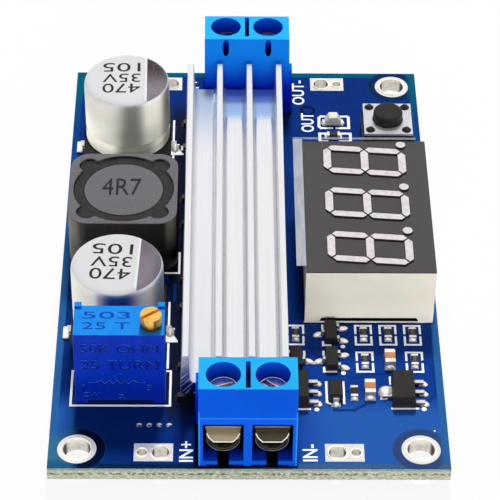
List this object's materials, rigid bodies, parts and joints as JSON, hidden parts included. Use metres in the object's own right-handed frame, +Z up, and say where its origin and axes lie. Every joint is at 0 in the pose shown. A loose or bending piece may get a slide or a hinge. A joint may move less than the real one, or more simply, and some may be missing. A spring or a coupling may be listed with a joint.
{
  "type": "boost converter module",
  "caption": "Flat circuit module that steps a DC voltage up, with screw terminals at both ends, a long finned heatsink, round capacitors, an inductor, a trimmer and a digit display.",
  "frame": {"origin": "centre of the board's lower face, which is the centre of the four mounting holes", "axes": "+Z up through the board, +Y along the board towards the output terminal, +X towards the display"},
  "size_m": [0.042, 0.067, 0.0144],
  "materials": {
    "solder_mask": "glossy blue solder mask over glass fibre",
    "tinned_copper": "tinned, slightly uneven",
    "solder": "bright solder",
    "blue_housing": "satin moulded blue",
    "plated_brass": "nickel plated",
    "zinc_steel": "zinc plated",
    "heatsink_aluminium": "extruded, fine draw lines",
    "adhesive_white": "matt thermal adhesive",
    "package_black": "moulded epoxy",
    "tinned_lead": "tinned",
    "can_aluminium": "drawn, laminated",
    "base_black": "moulded black",
    "ferrite": "ground grey ferrite",
    "copper_wire": "enamelled copper",
    "dark_glue": "cured dark glue",
    "trimmer_blue": "satin moulded blue",
    "brass": "machined brass",
    "case_cream": "moulded cream white",
    "face_grey": "printed dark grey",
    "segment_white": "milky epoxy",
    "inner_board": "glass fibre",
    "clear_film": "clear protective film",
    "switch_black": "moulded black",
    "switch_steel": "stamped, tin plated",
    "lamp_white": "white laminate",
    "lamp_lens": "clear epoxy",
    "gold_end": "gold plated",
    "chip_black": "glazed black",
    "chip_tan": "fired tan ceramic"
  },
  "bodies": {
    "root": {"circuit_board": "solder_mask", "tinned_pads": "tinned_copper", "solder_joints": "solder", "heatsink": "heatsink_aluminium", "thermal_adhesive": "adhesive_white", "power_package_bodies": "package_black", "power_package_leads": "tinned_lead", "front_capacitor_can": "can_aluminium", "front_capacitor_base": "base_black", "rear_capacitor_can": "can_aluminium", "rear_capacitor_base": "base_black", "capacitor_leads": "tinned_lead", "inductor_shield": "ferrite", "inductor_drum": "ferrite", "inductor_winding": "copper_wire", "inductor_glue": "dark_glue", "inductor_terminals": "tinned_lead", "trimmer_case": "trimmer_blue", "trimmer_pins": "tinned_lead", "display_case": "case_cream", "display_face": "face_grey", "display_segments": "segment_white", "display_circuit_board": "inner_board", "display_pins": "tinned_lead", "display_film": "clear_film", "switch_base": "switch_black", "switch_cover": "switch_steel", "switch_dome": "switch_steel", "switch_legs": "tinned_lead", "indicator_base": "lamp_white", "indicator_lens": "lamp_lens", "indicator_ends": "gold_end", "chip_resistors": "chip_black", "chip_resistor_ends": "tinned_lead", "chip_capacitors": "chip_tan", "chip_capacitor_ends": "tinned_lead", "transistor_bodies": "package_black", "transistor_legs": "tinned_lead", "regulator_bodies": "package_black", "regulator_legs": "tinned_lead", "signal_diode_body": "package_black", "signal_diode_legs": "tinned_lead", "control_chip_bodies": "package_black", "control_chip_legs": "tinned_lead", "input_terminal_housing": "blue_housing", "input_terminal_contacts": "plated_brass", "output_terminal_housing": "blue_housing", "output_terminal_contacts": "plated_brass"},
    "trimmer_screw": {"trimmer_screw": "brass"},
    "switch_button": {"switch_button": "switch_black"},
    "input_guard_left": {"input_guard_left": "plated_brass"},
    "input_screw_left": {"input_screw_left": "zinc_steel"},
    "input_guard_right": {"input_guard_right": "plated_brass"},
    "input_screw_right": {"input_screw_right": "zinc_steel"},
    "output_guard_left": {"output_guard_left": "plated_brass"},
    "output_screw_left": {"output_screw_left": "zinc_steel"},
    "output_guard_right": {"output_guard_right": "plated_brass"},
    "output_screw_right": {"output_screw_right": "zinc_steel"}
  },
  "joints": [
    {"name": "input_guard_left_slide", "type": "slide", "parent": "root", "child": "input_guard_left", "axis": [0, 0, -1], "range_m": [-0.00135, 0.00112]},
    {"name": "input_screw_left_turn", "type": "hinge", "parent": "input_guard_left", "child": "input_screw_left", "pos_m": [-0.00271, -0.02965, 0.006], "axis": [0, 0, -1], "range_deg": [-1085, 905]},
    {"name": "input_guard_right_slide", "type": "slide", "parent": "root", "child": "input_guard_right", "axis": [0, 0, -1], "range_m": [-0.00135, 0.00112]},
    {"name": "input_screw_right_turn", "type": "hinge", "parent": "input_guard_right", "child": "input_screw_right", "pos_m": [0.00237, -0.02965, 0.006], "axis": [0, 0, -1], "range_deg": [-1085, 905]},
    {"name": "output_guard_left_slide", "type": "slide", "parent": "root", "child": "output_guard_left", "axis": [0, 0, -1], "range_m": [-0.00135, 0.00112]},
    {"name": "output_screw_left_turn", "type": "hinge", "parent": "output_guard_left", "child": "output_screw_left", "pos_m": [-0.00254, 0.02965, 0.006], "axis": [0, 0, -1], "range_deg": [-1085, 905]},
    {"name": "output_guard_right_slide", "type": "slide", "parent": "root", "child": "output_guard_right", "axis": [0, 0, -1], "range_m": [-0.00135, 0.00112]},
    {"name": "output_screw_right_turn", "type": "hinge", "parent": "output_guard_right", "child": "output_screw_right", "pos_m": [0.00254, 0.02965, 0.006], "axis": [0, 0, -1], "range_deg": [-1085, 905]},
    {"name": "trimmer_screw_turn", "type": "hinge", "parent": "root", "child": "trimmer_screw", "pos_m": [-0.01027, -0.02238, 0.0116], "axis": [0, 0, -1], "continuous": true},
    {"name": "switch_button_press", "type": "slide", "parent": "root", "child": "switch_button", "axis": [0, 0, -1], "range_m": [0, 0.00025], "stiffness_N_per_m": 2000, "springref_m": -0.0003}
  ],
  "couplings": [
    {"joint": "input_screw_left_turn", "follows": "input_guard_left_slide", "rad_per_m": 13963},
    {"joint": "input_screw_right_turn", "follows": "input_guard_right_slide", "rad_per_m": 13963},
    {"joint": "output_screw_left_turn", "follows": "output_guard_left_slide", "rad_per_m": 13963},
    {"joint": "output_screw_right_turn", "follows": "output_guard_right_slide", "rad_per_m": 13963}
  ]
}
